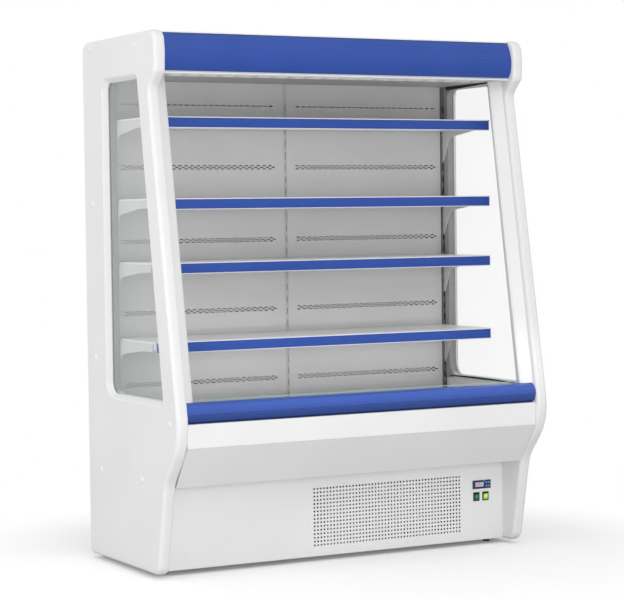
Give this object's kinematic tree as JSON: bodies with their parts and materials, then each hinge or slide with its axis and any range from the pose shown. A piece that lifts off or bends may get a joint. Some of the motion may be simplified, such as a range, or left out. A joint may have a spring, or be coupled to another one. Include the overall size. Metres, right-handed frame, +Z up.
{
  "type": "open multideck display fridge",
  "caption": "Open-fronted multideck display fridge with moulded glazed ends, hanging shelves, blue fascia and bumper, deck trays and a grilled plinth over levelling feet.",
  "frame": {"origin": "on the floor, under the middle of the cabinet's footprint", "axes": "+Z up, +X to the right of someone facing the cabinet, front faces -Y, back faces +Y"},
  "size_m": [1.5, 0.7928, 1.886],
  "materials": {
    "white_moulding": "satin moulded white plastic",
    "white_paint": "white powder coat",
    "grey_paint": "pale grey powder coat",
    "liner_paint": "satin grey-white liner paint",
    "blue_plastic": "glossy blue plastic extrusion",
    "clear_glass": "clear toughened glass with a faint green edge",
    "zinc_steel": "zinc plated steel",
    "galvanised_steel": "galvanised sheet",
    "black_plastic": "black moulded plastic",
    "black_enamel": "black enamel",
    "dark_green_lens": "unlit green rocker",
    "lit_green_lens": "lit green rocker",
    "insulated_skin": "pale skin over insulating foam",
    "aluminium_fin": "aluminium fins",
    "lamp_glass": "white fluorescent tube"
  },
  "bodies": {
    "cabinet": {"left_end_panel": "white_moulding", "right_end_panel": "white_moulding", "left_side_glass": "clear_glass", "right_side_glass": "clear_glass", "left_window_frame": "white_paint", "right_window_frame": "white_paint", "rear_wall": "insulated_skin", "roof_panel": "insulated_skin", "base_tub": "insulated_skin", "left_rear_panel": "liner_paint", "right_rear_panel": "liner_paint", "left_upright": "zinc_steel", "centre_upright": "zinc_steel", "right_upright": "zinc_steel", "ceiling_panel": "liner_paint", "air_outlet_grille": "white_paint", "canopy_fascia": "blue_plastic", "canopy_carrier": "white_paint", "lamp_batten": "white_paint", "air_return_grille": "white_paint", "glass_riser": "clear_glass", "bumper_rail": "blue_plastic", "upper_front_panel": "white_paint", "sloping_front_panel": "grey_paint", "plinth_panel": "white_paint", "controller": "black_plastic", "switch_housing_1": "black_plastic", "switch_housing_2": "black_plastic", "base_frame": "galvanised_steel", "rear_cover": "galvanised_steel", "compressor": "black_enamel", "condenser": "aluminium_fin", "evaporator": "aluminium_fin"},
    "shelf_1": {"shelf_1": "white_paint", "ticket_strip_1": "blue_plastic", "left_bracket_1": "white_paint", "right_bracket_1": "white_paint"},
    "shelf_2": {"shelf_2": "white_paint", "ticket_strip_2": "blue_plastic", "left_bracket_2": "white_paint", "right_bracket_2": "white_paint"},
    "shelf_3": {"shelf_3": "white_paint", "ticket_strip_3": "blue_plastic", "left_bracket_3": "white_paint", "right_bracket_3": "white_paint"},
    "shelf_4": {"shelf_4": "white_paint", "ticket_strip_4": "blue_plastic", "left_bracket_4": "white_paint", "right_bracket_4": "white_paint"},
    "left_deck": {"left_deck_tray": "white_paint"},
    "right_deck": {"right_deck_tray": "white_paint"},
    "rocker_1": {"switch_rocker_1": "dark_green_lens"},
    "rocker_2": {"switch_rocker_2": "lit_green_lens"},
    "condenser_fan": {"condenser_fan": "black_plastic"},
    "evaporator_fan": {"evaporator_fan": "black_plastic"},
    "lamp_tube": {"lamp_tube": "lamp_glass"},
    "foot_front_left": {"foot_front_left": "black_plastic"},
    "foot_front_right": {"foot_front_right": "black_plastic"},
    "foot_rear_left": {"foot_rear_left": "black_plastic"},
    "foot_rear_right": {"foot_rear_right": "black_plastic"}
  },
  "joints": [
    {"name": "shelf_1_lift", "type": "slide", "parent": "cabinet", "child": "shelf_1", "axis": [0, 0, 1], "range_m": [0, 0.012]},
    {"name": "shelf_2_lift", "type": "slide", "parent": "cabinet", "child": "shelf_2", "axis": [0, 0, 1], "range_m": [0, 0.012]},
    {"name": "shelf_3_lift", "type": "slide", "parent": "cabinet", "child": "shelf_3", "axis": [0, 0, 1], "range_m": [0, 0.012]},
    {"name": "shelf_4_lift", "type": "slide", "parent": "cabinet", "child": "shelf_4", "axis": [0, 0, 1], "range_m": [0, 0.012]},
    {"name": "left_deck_lift", "type": "slide", "parent": "cabinet", "child": "left_deck", "axis": [0, 0, 1], "range_m": [0, 0.02]},
    {"name": "right_deck_lift", "type": "slide", "parent": "cabinet", "child": "right_deck", "axis": [0, 0, 1], "range_m": [0, 0.02]},
    {"name": "rocker_1_press", "type": "hinge", "parent": "cabinet", "child": "rocker_1", "pos_m": [0.5885, -0.14964, 0.182], "axis": [-1, 0, 0], "range_deg": [0, 16]},
    {"name": "rocker_2_press", "type": "hinge", "parent": "cabinet", "child": "rocker_2", "pos_m": [0.629, -0.14964, 0.182], "axis": [-1, 0, 0], "range_deg": [0, 16]},
    {"name": "condenser_fan_spin", "type": "hinge", "parent": "cabinet", "child": "condenser_fan", "pos_m": [0.205, 0.03436, 0.1333], "axis": [0, 1, 0], "continuous": true},
    {"name": "evaporator_fan_spin", "type": "hinge", "parent": "cabinet", "child": "evaporator_fan", "pos_m": [0, -0.17664, 0.437], "axis": [0, 1, 0], "continuous": true},
    {"name": "lamp_twist", "type": "hinge", "parent": "cabinet", "child": "lamp_tube", "pos_m": [0, -0.16864, 1.777], "axis": [1, 0, 0], "range_deg": [0, 90]},
    {"name": "foot_front_left_screw", "type": "slide", "parent": "cabinet", "child": "foot_front_left", "axis": [0, 0, 1], "range_m": [-0.015, 0]},
    {"name": "foot_front_right_screw", "type": "slide", "parent": "cabinet", "child": "foot_front_right", "axis": [0, 0, 1], "range_m": [-0.015, 0]},
    {"name": "foot_rear_left_screw", "type": "slide", "parent": "cabinet", "child": "foot_rear_left", "axis": [0, 0, 1], "range_m": [-0.015, 0]},
    {"name": "foot_rear_right_screw", "type": "slide", "parent": "cabinet", "child": "foot_rear_right", "axis": [0, 0, 1], "range_m": [-0.015, 0]}
  ]
}
